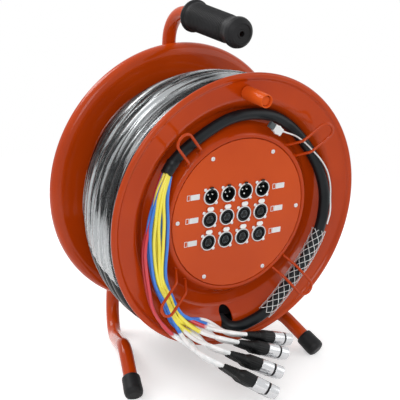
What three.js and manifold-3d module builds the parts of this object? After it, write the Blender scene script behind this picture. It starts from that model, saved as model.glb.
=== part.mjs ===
// Multicore cable drum: a powder coated steel reel on a bent tube stand, wound with one multicore cable.
// The drum carries a patch panel with twelve connectors, a crank knob, four wire hooks, and the fan-out tail.
// Millimetres, +Z up. The drum turns on the Y axis, and its front, with the patch panel, faces -Y.
// The stand's feet rest on Z = 0. Inside the reel group, the axle's centre line is the Y axis.

import * as THREE from "three";
import { mergeVertices } from "three/addons/utils/BufferGeometryUtils.js";
import Module from "manifold-3d";

const wasm = await Module();
wasm.setup();

// Driving dimensions
const AXLE_HEIGHT = 250.5; // axle centre above the floor
const REEL_SHIFT_Y = -9.5; // centres the whole object on the origin, front to back
const FIT = 0.3; // clearance between touching pieces
const SHEET = 2; // pressed steel thickness

const FLANGE_RADIUS = 200;
const FLANGE_SEGMENTS = 38;
const FRONT_FACE_Y = -75; // front of the outer annulus of the front flange
const REAR_FACE_Y = 91; // winding side of the rear flange
const REAR_EDGE_Y = 107; // edge of the rear flange's turned rim
const BARREL_RADIUS = 112;

const PANEL_RADIUS = 107.3;
const PANEL_FRONT_Y = -76.6;
const CONNECTOR_COLUMNS = 4;
const CONNECTOR_ROWS = 3;
const CONNECTOR_PITCH_X = 28.2;
const CONNECTOR_PITCH_Z = 33.5;
const CONNECTOR_GRID_X = -5.7; // centre of the connector grid
const CONNECTOR_GRID_Z = -2.2;
const CONNECTOR_RADIUS = 12.2;
const CONNECTOR_BODY_RADIUS = 11;
const TAB_RISE = 15.4; // release tab's centre above its connector's centre
const TAB_TRAVEL = 1.2;

const STAND_TUBE_RADIUS = 10;
const STAND_Y = 131; // plane of the stand behind the drum
const LEG_X = 77;
const HANDLE_HEIGHT = 247; // grip's centre line above the axle
const GRIP_REAR_Y = 67;
const GRIP_FRONT_Y = -54;
const PLATE_FRONT_Y = 115.7;
const PLATE_THICKNESS = 5;
const AXLE_RADIUS = 10;

const KNOB_CIRCLE = 172; // crank knob's distance from the axle
const KNOB_RADIUS = 10;
const KNOB_FRONT_Y = -122;

const CABLE_RADIUS = 8; // multicore, 16 mm over its jacket
const CHANNEL_RADIUS = 2.3; // one channel's cable in the fan-out
const CHANNELS = 12;
const LINE_CONNECTOR_LENGTH = 84;
const TAIL_STEPS = 54;
const GRIP_SOCK_STEPS = [7, 20]; // the wire mesh grip's place along the tail
const WINDING_TURNS = 8;
const STEPS_PER_TURN = 24;
const WINDING_SIDES = 6;
const WINDING_SLACK = 14.5;

const SLOT_X = -4; // cable slot in the front flange
const SLOT_HALF_WIDTH = 10;
const SLOT_INNER = 146;
const SLOT_OUTER = 180.5;

// Materials
const paint = { color: 0xc4400f, roughness: 0.28, metalness: 0.1 };
const rubber = { color: 0x1d1d1f, roughness: 0.75, metalness: 0 };
const steel = { color: 0xc9ccd0, roughness: 0.3, metalness: 1 };
const nickel = { color: 0xd8d9db, roughness: 0.25, metalness: 1 };
const nylon = { color: 0xe6e3da, roughness: 0.6, metalness: 0 };
const jacket = { color: 0x17191b, roughness: 0.45, metalness: 0 };
const film = { color: 0x5d6164, roughness: 0.15, metalness: 0 };
const sleeve = { color: 0xf1d43a, roughness: 0.4, metalness: 0 };

const Y_AXIS = new THREE.Vector3(0, 1, 0);

// A path of straight runs joined by round bends. Its rings sit where the bends need them.
class BentPath extends THREE.Curve {
  constructor(corners, bendRadius, stepsPerBend = 5) {
    super();
    this.rings = [corners[0].clone()];
    for (let i = 1; i < corners.length - 1; i++) {
      const corner = corners[i];
      const back = corners[i - 1].clone().sub(corner).normalize();
      const ahead = corners[i + 1].clone().sub(corner).normalize();
      const half = back.angleTo(ahead) / 2;
      const centre = back.clone().add(ahead).normalize();
      centre.multiplyScalar(bendRadius / Math.sin(half)).add(corner);
      const from = back.multiplyScalar(bendRadius / Math.tan(half)).add(corner).sub(centre);
      const to = ahead.multiplyScalar(bendRadius / Math.tan(half)).add(corner).sub(centre);
      const axis = from.clone().cross(to).normalize();
      for (let k = 0; k <= stepsPerBend; k++) {
        const turned = from.clone().applyAxisAngle(axis, (from.angleTo(to) * k) / stepsPerBend);
        this.rings.push(turned.add(centre));
      }
    }
    this.rings.push(corners.at(-1).clone());
    this.steps = this.rings.length - 1;
  }

  getPoint(t, target = new THREE.Vector3()) {
    const at = Math.min(Math.max(t, 0), 1) * this.steps;
    const i = Math.min(Math.floor(at), this.steps - 1);
    return target.lerpVectors(this.rings[i], this.rings[i + 1], at - i);
  }

  getUtoTmapping(u) {
    return u;
  }
}

function vec(x, y, z) {
  return new THREE.Vector3(x, y, z);
}

// Position-only geometry with shared vertices and no collapsed triangles, its faces pointing out.
function clean(geometry) {
  const bare = new THREE.BufferGeometry().setAttribute("position", geometry.getAttribute("position"));
  if (geometry.index) bare.setIndex(geometry.index);
  const merged = mergeVertices(bare, 1e-3);
  const index = merged.index.array;
  const points = merged.getAttribute("position");
  const a = vec();
  const b = vec();
  const c = vec();
  const kept = [];
  let volume = 0;
  for (let i = 0; i < index.length; i += 3) {
    const [p, q, r] = [index[i], index[i + 1], index[i + 2]];
    if (p === q || q === r || p === r) continue;
    kept.push(p, q, r);
    a.fromBufferAttribute(points, p);
    b.fromBufferAttribute(points, q);
    c.fromBufferAttribute(points, r);
    volume += a.dot(b.cross(c));
  }
  if (volume < 0) kept.reverse();
  return merged.setIndex(kept);
}

function toSolid(geometry) {
  const g = clean(geometry);
  return new wasm.Manifold(
    new wasm.Mesh({
      numProp: 3,
      vertProperties: new Float32Array(g.getAttribute("position").array),
      triVerts: new Uint32Array(g.index.array),
    }),
  );
}

function toGeometry(solid) {
  const made = solid.getMesh();
  return new THREE.BufferGeometry()
    .setAttribute("position", new THREE.BufferAttribute(made.vertProperties, 3))
    .setIndex(new THREE.BufferAttribute(made.triVerts, 1));
}

// Closed profile of [radius, y] pairs turned round the Y axis.
function revolve(profile, segments) {
  const points = profile.map(([r, y]) => new THREE.Vector2(r, y));
  points.push(points[0].clone());
  return clean(new THREE.LatheGeometry(points, segments));
}

// Profile of [radius, y] pairs turned round any axis from a point, with y along that axis.
function revolveAlong(profile, segments, from, direction) {
  const turn = new THREE.Quaternion().setFromUnitVectors(Y_AXIS, direction.clone().normalize());
  return revolve(profile, segments).applyQuaternion(turn).translate(from.x, from.y, from.z);
}

// Flat shape drawn in x and z, standing from yFront to yBack.
function plate(shape, yFront, yBack, curveSegments = 8) {
  const geometry = new THREE.ExtrudeGeometry(shape, {
    depth: yBack - yFront,
    bevelEnabled: false,
    curveSegments,
  });
  return clean(geometry.rotateX(Math.PI / 2).translate(0, yBack, 0));
}

function polygon(radius, sides, x = 0, z = 0) {
  return Array.from({ length: sides }, (_, i) => {
    const angle = (2 * Math.PI * (i + 0.5)) / sides;
    return new THREE.Vector2(x + radius * Math.cos(angle), z + radius * Math.sin(angle));
  });
}

// Round bar or cord along a curve.
function bar(curve, radius, steps, sides) {
  const section = new THREE.Shape(polygon(radius, sides));
  return clean(new THREE.ExtrudeGeometry(section, { steps, extrudePath: curve, bevelEnabled: false }));
}

// Cylinder along Y at x, z.
function rod(radius, yFrom, yTo, x, z, segments) {
  const profile = [
    [0, yFrom],
    [radius, yFrom],
    [radius, yTo],
    [0, yTo],
  ];
  return revolve(profile, segments).translate(x, 0, z);
}

const reel = new THREE.Group();
reel.position.set(0, REEL_SHIFT_Y, AXLE_HEIGHT);

function add(name, geometry, finish) {
  const shown = geometry.index ? geometry.toNonIndexed() : geometry;
  shown.computeVertexNormals();
  const mesh = new THREE.Mesh(shown, new THREE.MeshStandardMaterial({ name, ...finish }));
  mesh.name = name;
  reel.add(mesh);
  return mesh;
}

// Front flange: pressed dish with a channel for the stored tail, a rolled rim and a recess for the panel
const frontSurface = [
  [100, -74.3],
  [108.4, -74.3],
  [108.4, -77],
  [114, -77],
  [120, -66],
  [127, -57.2],
  [145, -57],
  [158, -71],
  [164, FRONT_FACE_Y],
  [189, FRONT_FACE_Y],
];
const rolledRim = [
  [192, -79],
  [198, -79],
  [FLANGE_RADIUS, -75],
  [196, -70.5],
];
const backSurface = [
  [189, FRONT_FACE_Y + SHEET],
  [164.8, FRONT_FACE_Y + SHEET],
  [158.4, -68.6],
  [145.6, -55],
  [126.2, -55.2],
  [118.3, -65],
  [113, -75],
  [110.4, -75],
  [110.4, -72.3],
  [100, -72.3],
];

function makeFrontFlange() {
  const dish = toSolid(revolve([...frontSurface, ...rolledRim, ...backSurface], FLANGE_SEGMENTS));
  const slot = new THREE.Shape();
  slot.moveTo(SLOT_X + SLOT_HALF_WIDTH, -SLOT_OUTER);
  slot.lineTo(SLOT_X + SLOT_HALF_WIDTH, -(SLOT_INNER + SLOT_HALF_WIDTH));
  slot.absarc(SLOT_X, -(SLOT_INNER + SLOT_HALF_WIDTH), SLOT_HALF_WIDTH, 0, Math.PI, false);
  slot.lineTo(SLOT_X - SLOT_HALF_WIDTH, -SLOT_OUTER);
  const slotCut = toSolid(plate(slot, FRONT_FACE_Y - 10, FRONT_FACE_Y + 30, 6));
  const boltHole = toSolid(rod(4.4, FRONT_FACE_Y - 5, FRONT_FACE_Y + 8, 0, KNOB_CIRCLE, 12));
  add("front_flange", toGeometry(dish.subtract(slotCut).subtract(boltHole)), paint);
}

function makeRearFlange() {
  const bore = 17.6;
  const profile = [
    [bore, REAR_FACE_Y],
    [188, REAR_FACE_Y],
    [196.5, REAR_FACE_Y + 3.2],
    [FLANGE_RADIUS, REAR_FACE_Y + 9.5],
    [FLANGE_RADIUS, REAR_EDGE_Y],
    [FLANGE_RADIUS - SHEET, REAR_EDGE_Y],
    [FLANGE_RADIUS - SHEET, REAR_FACE_Y + 10],
    [195.2, REAR_FACE_Y + 4.9],
    [187.6, REAR_FACE_Y + SHEET],
    [bore, REAR_FACE_Y + SHEET],
  ];
  add("rear_flange", revolve(profile, FLANGE_SEGMENTS), paint);
}

// Barrel, and the bearing tube with its web that hold the drum on the axle
function makeBarrel() {
  const inner = BARREL_RADIUS - 1.5;
  const barrel = [
    [inner, -72],
    [BARREL_RADIUS, -72],
    [BARREL_RADIUS, REAR_FACE_Y - FIT],
    [inner, REAR_FACE_Y - FIT],
  ];
  add("barrel", revolve(barrel, FLANGE_SEGMENTS), paint);

  const web = [
    [13.6, -31],
    [17, -31],
    [17, -27],
    [inner - 0.4, -27],
    [inner - 0.4, -25],
    [17, -25],
    [17, 104],
    [13.6, 104],
  ];
  add("bearing_tube", revolve(web, 24), steel);

  const bush = (flangeFrom, flangeTo, sleeveEnd) => [
    [AXLE_RADIUS + 0.35, flangeFrom],
    [16.5, flangeFrom],
    [16.5, flangeTo],
    [13.2, flangeTo],
    [13.2, sleeveEnd],
    [AXLE_RADIUS + 0.35, sleeveEnd],
  ];
  add("front_bush", revolve(bush(-33.5, -31.3, -11), 18), nylon);
  add("rear_bush", revolve(bush(106.5, 104.3, 84), 18), nylon);
}

function makePanel() {
  const [front, back] = [PANEL_FRONT_Y, PANEL_FRONT_Y + SHEET];
  let panel = toSolid(plate(new THREE.Shape(polygon(PANEL_RADIUS, FLANGE_SEGMENTS)), front, back));
  for (const { x, z, female } of connectors()) {
    const hole = rod(CONNECTOR_BODY_RADIUS + 0.5, front - 5, back + 5, x, z, 10);
    panel = panel.subtract(toSolid(hole));
    if (!female) continue;
    const tabHole = new THREE.BoxGeometry(6.8, 12, 4).translate(x, front, z + TAB_RISE);
    panel = panel.subtract(toSolid(tabHole));
  }
  add("patch_panel", toGeometry(panel), paint);
}

// Panel connectors: the top row is male, the two rows below are female with a release tab each
function connectors() {
  const list = [];
  for (let row = 0; row < CONNECTOR_ROWS; row++)
    for (let column = 0; column < CONNECTOR_COLUMNS; column++)
      list.push({
        number: list.length + 1,
        x: CONNECTOR_GRID_X + (column - (CONNECTOR_COLUMNS - 1) / 2) * CONNECTOR_PITCH_X,
        z: CONNECTOR_GRID_Z + ((CONNECTOR_ROWS - 1) / 2 - row) * CONNECTOR_PITCH_Z,
        female: row > 0,
      });
  return list;
}

function makeConnector({ number, x, z, female }) {
  const backY = PANEL_FRONT_Y - FIT; // back of the front ring
  const frontY = backY - 1.6;
  const cupFloorY = female ? frontY + 1.6 : frontY + 12;
  const rearY = frontY + 27;
  const profile = [
    [0, cupFloorY],
    [8.9, cupFloorY],
    [8.9, frontY],
    [CONNECTOR_RADIUS, frontY],
    [CONNECTOR_RADIUS, backY],
    [CONNECTOR_BODY_RADIUS, backY],
    [CONNECTOR_BODY_RADIUS, rearY],
    [0, rearY],
  ];
  let body = toSolid(revolve(profile, 10));
  for (const side of [-1, 1]) {
    const ear = new THREE.Shape(polygon(3.8, 6, side * 9.6, -side * 11.2));
    body = body.add(toSolid(plate(ear, frontY + 0.2, backY)));
  }
  const contactCircle = 4.2;
  for (let pin = 0; pin < 3 && !female; pin++) {
    const angle = Math.PI / 6 + (pin * 2 * Math.PI) / 3;
    const [px, pz] = [contactCircle * Math.cos(angle), contactCircle * Math.sin(angle)];
    body = body.add(toSolid(rod(1.2, frontY + 3, cupFloorY + 1, px, pz, 5)));
  }
  add("panel_connector_" + pad(number), toGeometry(body).translate(x, 0, z), nickel);
}

function makeReleaseTab({ number, x, z }) {
  const headBack = PANEL_FRONT_Y - TAB_TRAVEL - 0.25;
  const head = new THREE.Shape();
  head.absarc(-2.3, TAB_RISE, 2.4, Math.PI / 2, (3 * Math.PI) / 2, false);
  head.absarc(2.3, TAB_RISE, 2.4, -Math.PI / 2, Math.PI / 2, false);
  const shank = new THREE.BoxGeometry(6, 8, 3.2).translate(0, headBack + 3.5, TAB_RISE);
  const tab = toSolid(plate(head, headBack - 1.4, headBack, 4)).add(toSolid(shank));
  add("release_tab_" + pad(number), toGeometry(tab).translate(x, 0, z), nickel);
}

function pad(number) {
  return String(number).padStart(2, "0");
}

// Crank knob on its bolt
function makeCrank() {
  const headSeat = KNOB_FRONT_Y + 8.3;
  const bolt = [
    [0, headSeat - 4.8],
    [6.5, headSeat - 4.8],
    [6.5, headSeat - FIT],
    [4, headSeat - FIT],
    [4, FRONT_FACE_Y + SHEET + FIT],
    [6.5, FRONT_FACE_Y + SHEET + FIT],
    [6.5, FRONT_FACE_Y + SHEET + 5],
    [0, FRONT_FACE_Y + SHEET + 5],
  ];
  add("crank_bolt", revolve(bolt, 12).translate(0, 0, KNOB_CIRCLE), steel);
  const knob = [
    [4.8, headSeat],
    [7.6, headSeat],
    [7.6, KNOB_FRONT_Y],
    [KNOB_RADIUS - 1.2, KNOB_FRONT_Y],
    [KNOB_RADIUS, KNOB_FRONT_Y + 1.2],
    [KNOB_RADIUS, FRONT_FACE_Y - 2.2],
    [KNOB_RADIUS - 1.4, FRONT_FACE_Y - 0.8],
    [4.8, FRONT_FACE_Y - 0.8],
  ];
  add("crank_knob", revolve(knob, 16).translate(0, 0, KNOB_CIRCLE), paint);
}

// Four U-shaped wire hooks welded to the wall of the hub, which hold the stored tail
const HOOKS = { upper_left: 132, upper_right: 43, lower_right: -48, lower_left: -137.5 };

function makeHooks() {
  const shifted = [...frontSurface, [189, 20], [60, 20], [60, -74.3]].map(([r, y]) => [r, y - FIT]);
  const clearance = toSolid(revolve(shifted, FLANGE_SEGMENTS));
  for (const [place, degrees] of Object.entries(HOOKS)) {
    const spread = 12;
    const corners = [
      vec(114, -68, spread),
      vec(132, -93, spread),
      vec(175, -103, spread),
      vec(175, -103, -spread),
      vec(132, -93, -spread),
      vec(114, -68, -spread),
    ];
    const hookPath = new BentPath(corners, 11.5, 3);
    const rodShape = bar(hookPath, 2, hookPath.steps, 6);
    rodShape.rotateY(-THREE.MathUtils.degToRad(degrees));
    add(place + "_hook", toGeometry(toSolid(rodShape).subtract(clearance)), paint);
  }
}

// Winding: the outer layer of the multicore over a plain core of the turns below it
function windingRadius(y) {
  // the pile is highest behind the front flange and falls away towards the rear flange
  const rise = THREE.MathUtils.clamp((y + 20) / 104, 0, 1);
  return 177 - 31 * rise * rise;
}

class WindingPath extends THREE.Curve {
  constructor() {
    super();
    this.rows = [];
    const [first, last] = [-45.5, 82.2];
    // rows of equal spacing along the pile's outline
    const samples = 200;
    let length = 0;
    const outline = [[0, first]];
    for (let i = 1; i <= samples; i++) {
      const y = first + ((last - first) * i) / samples;
      const before = outline.at(-1)[1];
      length += Math.hypot(y - before, windingRadius(y) - windingRadius(before));
      outline.push([length, y]);
    }
    this.outline = outline;
    this.length = length;
  }

  rowY(t) {
    const at = t * this.length;
    const i = Math.max(1, this.outline.findIndex(([l]) => l >= at - 1e-9));
    const [l0, y0] = this.outline[i - 1];
    const [l1, y1] = this.outline[i];
    return y0 + ((y1 - y0) * (at - l0)) / (l1 - l0);
  }

  getPoint(t, target = new THREE.Vector3()) {
    const angle = -Math.PI / 2 + t * WINDING_TURNS * 2 * Math.PI;
    const y = this.rowY(t);
    const loose = Math.max(0, Math.cos(angle + THREE.MathUtils.degToRad(125)));
    const slack = WINDING_SLACK * loose ** 4; // the turns hang loose at the lower left
    const r = windingRadius(y) + slack;
    return target.set(r * Math.cos(angle), y, r * Math.sin(angle));
  }

  getUtoTmapping(u) {
    return u;
  }
}

function makeWinding() {
  const path = new WindingPath();
  const steps = WINDING_TURNS * STEPS_PER_TURN;
  add("cable_winding", bar(path, CABLE_RADIUS, steps, WINDING_SIDES), film);

  const points = path.getPoints(steps);
  let least = Infinity;
  for (let i = 0; i <= steps; i++)
    for (let j = i + STEPS_PER_TURN / 2; j <= steps; j++)
      least = Math.min(least, points[i].distanceTo(points[j]) - 2 * CABLE_RADIUS);
  console.log("least gap of the winding to itself: " + least.toFixed(2) + " mm");

  const under = CABLE_RADIUS + 3.2;
  const stations = [-54, -20, 25, 60, REAR_FACE_Y - 0.5];
  const core = [
    [BARREL_RADIUS + 1.2, stations[0]],
    ...stations.map((y) => [windingRadius(y) - under, y]),
    [BARREL_RADIUS + 1.2, stations.at(-1)],
  ];
  add("winding_core", revolve(core, 32), jacket);
}

// Route of the multicore's tail: out of the slot, then anticlockwise round the front of the drum
const tailRoute = [
  vec(-10.5, -60, -163),
  vec(-7.5, -67, -167),
  vec(-5, -74, -170),
  vec(-0.5, -80.5, -171.5),
  vec(9, -86, -171),
  vec(27, -87, -167),
  vec(49, -88, -158),
  vec(74, -86, -139),
  vec(100, -82.5, -113),
  vec(124, -81, -84),
  vec(143, -80, -47),
  vec(150, -77.5, -13),
  vec(148, -74.5, 18),
  vec(136, -71.5, 50),
  vec(115, -68, 82),
  vec(86, -66.5, 112),
  vec(54, -66, 131),
  vec(18, -66, 138),
  vec(-18, -66, 135),
  vec(-50, -66, 122),
  vec(-80, -67, 105),
  vec(-97, -69, 94),
  vec(-109, -71, 84),
];

const tailCurve = new THREE.CatmullRomCurve3(tailRoute, false, "centripetal");

class Stretch extends THREE.Curve {
  constructor(whole, from, to) {
    super();
    Object.assign(this, { whole, from, to });
  }

  getPoint(t, target = new THREE.Vector3()) {
    return this.whole.getPointAt(THREE.MathUtils.lerp(this.from, this.to, t), target);
  }
}

function makeTail() {
  add("multicore_tail", bar(tailCurve, CABLE_RADIUS, TAIL_STEPS, 8), jacket);

  // wire mesh cable grip round the tail, with its pull wire and crimped ferrule
  const [first, last] = GRIP_SOCK_STEPS;
  const held = new Stretch(tailCurve, first / TAIL_STEPS, last / TAIL_STEPS);
  const outside = toSolid(bar(held, CABLE_RADIUS + 3.2, last - first, 8));
  const through = new Stretch(tailCurve, (first - 1) / TAIL_STEPS, (last + 1) / TAIL_STEPS);
  const bore = toSolid(bar(through, CABLE_RADIUS + 1.2, last - first + 2, 8));
  add("cable_grip_sock", toGeometry(outside.subtract(bore)), steel);

  const wire = new THREE.CatmullRomCurve3(pullWireRoute, false, "centripetal");
  const ferrule = toSolid(new THREE.BoxGeometry(26, 6, 11).rotateY(0.62).translate(47, -83, 119));
  const wireSolid = toSolid(bar(wire, 1.5, 16, 8));
  add("pull_wire", toGeometry(wireSolid.add(ferrule)), steel);
}

const pullWireRoute = [
  vec(149, -90, -35),
  vec(155, -87, -18),
  vec(157, -82, 1),
  vec(156, -80, 21),
  vec(148, -80, 43),
  vec(134, -81, 62),
  vec(118, -82, 77),
  vec(101, -82, 92),
  vec(85, -82, 103),
  vec(66, -83, 111),
  vec(50, -83, 117),
];

// Fan-out: one cable per channel from the end of the tail, through the lower left hook, to a line connector
const fanSpine = [
  { at: vec(-119, -75, 73), spread: 2 },
  { at: vec(-132, -81, 46), spread: 4.2 },
  { at: vec(-137, -84, 8), spread: 6.8 },
  { at: vec(-136, -84, -25), spread: 6.9 },
  { at: vec(-129, -84, -76), spread: 4.7 },
  { at: vec(-115, -84, -105), spread: 4.7 },
  { at: vec(-98, -91, -140), spread: 5 },
];

// The line connectors lie in three layers of four, which lean on the flange and fan out towards their noses
const STACK_ROWS = [0, 0.27, 0.63, 1]; // place of each row between the first and the last
const STACK_LAYERS = 3;
const stackTip = { first: vec(65, -132.5, -183), last: vec(-5.5, -206, -216.5) };
const stackAim = { first: vec(0.946, 0.06, -0.32), last: vec(0.756, -0.478, -0.447) };
const stackBehind = vec(9.4, 18.6, -11);

function lineConnector(k) {
  const row = k % STACK_ROWS.length;
  const layer = Math.floor(k / STACK_ROWS.length);
  const tip = stackTip.first.clone().lerp(stackTip.last, STACK_ROWS[row]).addScaledVector(stackBehind, layer);
  const direction = stackAim.first.clone().lerp(stackAim.last, STACK_ROWS[row]).normalize();
  const cableEnd = tip.clone().addScaledVector(direction, -LINE_CONNECTOR_LENGTH);
  return { row, layer, direction, cableEnd };
}

function channelRoute(k) {
  const { row, layer, direction, cableEnd } = lineConnector(k);
  const place = row * STACK_LAYERS + layer; // the inner cables go to the upper connectors
  const across = Math.floor(place / 2) - 2.5;
  const deep = (place % 2) - 0.5;
  const route = fanSpine.map(({ at, spread }) => {
    const outward = vec(at.x, 0, at.z).normalize();
    return at.clone().addScaledVector(outward, across * spread).add(vec(0, -deep * 5.7, 0));
  });
  const before = cableEnd.clone().addScaledVector(direction, -26);
  return [...route, before, cableEnd];
}

function makeFanOut() {
  const boot = new THREE.LineCurve3(vec(-110.3, -71.2, 82.7), vec(-119.5, -74.6, 73));
  let fan = toSolid(bar(boot, CABLE_RADIUS, 1, 10));
  for (let k = 0; k < CHANNELS; k++) {
    const curve = new THREE.CatmullRomCurve3(channelRoute(k), false, "centripetal");
    fan = fan.add(toSolid(bar(curve, CHANNEL_RADIUS, 14, 4)));
  }
  add("fan_out", toGeometry(fan), sleeve);
}

function makeLineConnectors() {
  const length = LINE_CONNECTOR_LENGTH;
  const profile = [
    [0, FIT],
    [4.4, FIT],
    [5.8, 22],
    [9.4, 31],
    [9.4, length],
    [7.2, length],
    [7.2, length - 4],
    [0, length - 4],
  ];
  for (let k = 0; k < CHANNELS; k++) {
    const { cableEnd, direction } = lineConnector(k);
    add("line_connector_" + pad(k + 1), revolveAlong(profile, 8, cableEnd, direction), nickel);
  }
}

// Stand: two bent leg tubes and a handle tube, joined by the hub plate that carries the axle
const FOOT_TOP = { x: 136, y: -13.7, z: -204 };
const FOOT_END = { x: 156.3, y: -78.5, z: -238.6 };
const LEG_CORNER_Z = -259.2;
const ARCH_HEIGHT = 95;

function makeStand() {
  for (const [side, name] of [
    [-1, "left"],
    [1, "right"],
  ]) {
    const end = vec(side * FOOT_END.x, FOOT_END.y, FOOT_END.z);
    const top = vec(side * FOOT_TOP.x, FOOT_TOP.y, FOOT_TOP.z);
    const corners = [
      end,
      top,
      vec(side * LEG_X, STAND_Y, LEG_CORNER_Z),
      vec(side * LEG_X, STAND_Y, ARCH_HEIGHT),
      vec(side * 3, STAND_Y, ARCH_HEIGHT),
    ];
    const path = new BentPath(corners, 45, 6);
    const saddle = toSolid(
      new THREE.CylinderGeometry(STAND_TUBE_RADIUS + 0.4, STAND_TUBE_RADIUS + 0.4, 60, 20)
        .rotateX(Math.PI / 2)
        .translate(0, STAND_Y, ARCH_HEIGHT),
    );
    const tube = toSolid(bar(path, STAND_TUBE_RADIUS, path.steps, 10)).subtract(saddle);
    add(name + "_leg_tube", toGeometry(tube), paint);
    makeFootCap(name, end, end.clone().sub(top).normalize());
  }

  const handle = [
    vec(0, STAND_Y, -60),
    vec(0, STAND_Y, HANDLE_HEIGHT),
    vec(0, GRIP_FRONT_Y + 12, HANDLE_HEIGHT),
  ];
  const handlePath = new BentPath(handle, 48, 7);
  add("handle_tube", bar(handlePath, STAND_TUBE_RADIUS, handlePath.steps, 10), paint);
  makeGrip();
  makeHubPlate();
}

function makeFootCap(name, end, direction) {
  const outer = 13;
  const cap = [
    [0, FIT],
    [STAND_TUBE_RADIUS + 0.4, FIT],
    [STAND_TUBE_RADIUS + 0.4, -22.5],
    [outer - 1.5, -22.5],
    [outer, -20.5],
    [outer + 0.6, 2],
    [outer - 2, 7.5],
    [outer - 5, 9],
    [0, 9],
  ];
  const below = new THREE.BoxGeometry(80, 80, 40).translate(end.x, end.y, -AXLE_HEIGHT - 20);
  const solid = toSolid(revolveAlong(cap, 16, end, direction)).subtract(toSolid(below));
  add(name + "_foot_cap", toGeometry(solid), rubber);
}

function makeGrip() {
  const bore = STAND_TUBE_RADIUS + 0.4;
  const profile = [
    [bore, GRIP_REAR_Y],
    [22.7, GRIP_REAR_Y],
    [23.5, GRIP_REAR_Y - 0.8],
    [23.5, GRIP_REAR_Y - 3.2],
    [20.5, GRIP_REAR_Y - 6],
    [20.3, 30],
    [20, -20],
    [19, -31],
    [19.2, -36],
    [21.4, -39.5],
    [22, -44],
    [20.6, -49],
    [15, GRIP_FRONT_Y],
    [4, GRIP_FRONT_Y],
    [4, GRIP_FRONT_Y + 11.5],
    [bore, GRIP_FRONT_Y + 11.5],
  ];
  add("handle_grip", revolve(profile, 16).translate(0, 0, HANDLE_HEIGHT), rubber);
}

function makeHubPlate() {
  const outline = new THREE.Shape();
  outline.moveTo(-92, -20);
  outline.quadraticCurveTo(-50, -24, 0, -42);
  outline.quadraticCurveTo(50, -24, 92, -20);
  outline.absarc(92, 0, 20, -Math.PI / 2, Math.PI / 2, false);
  outline.quadraticCurveTo(50, 24, 0, 42);
  outline.quadraticCurveTo(-50, 24, -92, 20);
  outline.absarc(-92, 0, 20, Math.PI / 2, (3 * Math.PI) / 2, false);
  outline.holes.push(new THREE.Path(polygon(AXLE_RADIUS + 0.4, 24)));
  add("hub_plate", plate(outline, PLATE_FRONT_Y, PLATE_FRONT_Y + PLATE_THICKNESS - FIT, 5), paint);

  const axle = [
    [0, -46],
    [AXLE_RADIUS - 1, -46],
    [AXLE_RADIUS, -45],
    [AXLE_RADIUS, 107.3],
    [15, 107.3],
    [15, PLATE_FRONT_Y - FIT],
    [AXLE_RADIUS, PLATE_FRONT_Y - FIT],
    [AXLE_RADIUS, PLATE_FRONT_Y + PLATE_THICKNESS - FIT],
    [0, PLATE_FRONT_Y + PLATE_THICKNESS - FIT],
  ];
  add("axle", revolve(axle, 18), steel);
  const collar = [
    [AXLE_RADIUS + 0.35, -43],
    [17, -43],
    [17, -34.4],
    [AXLE_RADIUS + 0.35, -34.4],
  ];
  add("axle_collar", revolve(collar, 18), steel);
}

makeFrontFlange();
makeRearFlange();
makeBarrel();
makePanel();
for (const connector of connectors()) {
  makeConnector(connector);
  if (connector.female) makeReleaseTab(connector);
}
makeCrank();
makeHooks();
makeWinding();
makeTail();
makeFanOut();
makeLineConnectors();
makeStand();

const cableDrum = new THREE.Group();
cableDrum.name = "multicore_cable_drum";
cableDrum.add(reel);

export default cableDrum;
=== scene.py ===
"""A multicore cable drum: a powder coated steel reel on a bent tube stand, wound with one multicore cable.

Lengths in this file are millimetres in the reel's own frame. Its Y axis is the axle, and its front, with the
connector panel, faces -Y. Each finished mesh is turned to metres in the part's frame as it is made.
"""

import math

import bmesh
import bpy
import mathutils
import numpy as np
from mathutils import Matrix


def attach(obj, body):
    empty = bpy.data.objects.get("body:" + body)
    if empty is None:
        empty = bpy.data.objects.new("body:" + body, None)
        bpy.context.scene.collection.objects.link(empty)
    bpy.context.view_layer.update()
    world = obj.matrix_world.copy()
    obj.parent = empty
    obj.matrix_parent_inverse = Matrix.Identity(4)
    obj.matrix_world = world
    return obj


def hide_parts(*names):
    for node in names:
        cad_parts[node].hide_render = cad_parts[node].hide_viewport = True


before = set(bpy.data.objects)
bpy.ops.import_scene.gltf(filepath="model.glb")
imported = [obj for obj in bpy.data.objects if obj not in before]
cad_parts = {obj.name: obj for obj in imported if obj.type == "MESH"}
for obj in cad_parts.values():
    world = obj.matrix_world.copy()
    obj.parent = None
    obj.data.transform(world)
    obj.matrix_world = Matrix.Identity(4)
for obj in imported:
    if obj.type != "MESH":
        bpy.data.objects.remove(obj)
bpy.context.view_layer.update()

REEL = np.array([0.0, -9.5, 250.5])  # the axle's centre above the floor's origin

FLANGE_RADIUS = 200.0
FRONT_FACE_Y = -75.0
REAR_FACE_Y = 91.0
REAR_EDGE_Y = 107.0
SHEET = 2.0
PANEL_FRONT_Y = -76.6
PANEL_SCREW_CIRCLE = 99.0
CONNECTOR_PITCH_X = 28.2
CONNECTOR_PITCH_Z = 33.5
CONNECTOR_GRID_X = -5.7
CONNECTOR_GRID_Z = -2.2
TAB_RISE = 15.4
TAB_TRAVEL = 1.2
STAND_TUBE_RADIUS = 10.0
STAND_Y = 131.0
LEG_X = 77.0
LEG_CORNER_Z = -259.2
ARCH_HEIGHT = 95.0
FOOT_TOP = (136.0, -13.7, -204.0)
FOOT_END = (156.3, -78.5, -238.6)
HANDLE_HEIGHT = 247.0
GRIP_REAR_Y = 67.0
GRIP_FRONT_Y = -54.0
KNOB_CIRCLE = 172.0
KNOB_RADIUS = 10.0
KNOB_FRONT_Y = -122.0
CABLE_RADIUS = 8.0
CHANNEL_RADIUS = 2.3
CHANNELS = 12
WINDING_TURNS = 8
WINDING_FIRST_Y = -45.5
WINDING_LAST_Y = 82.2
WINDING_SLACK = 14.5
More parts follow.
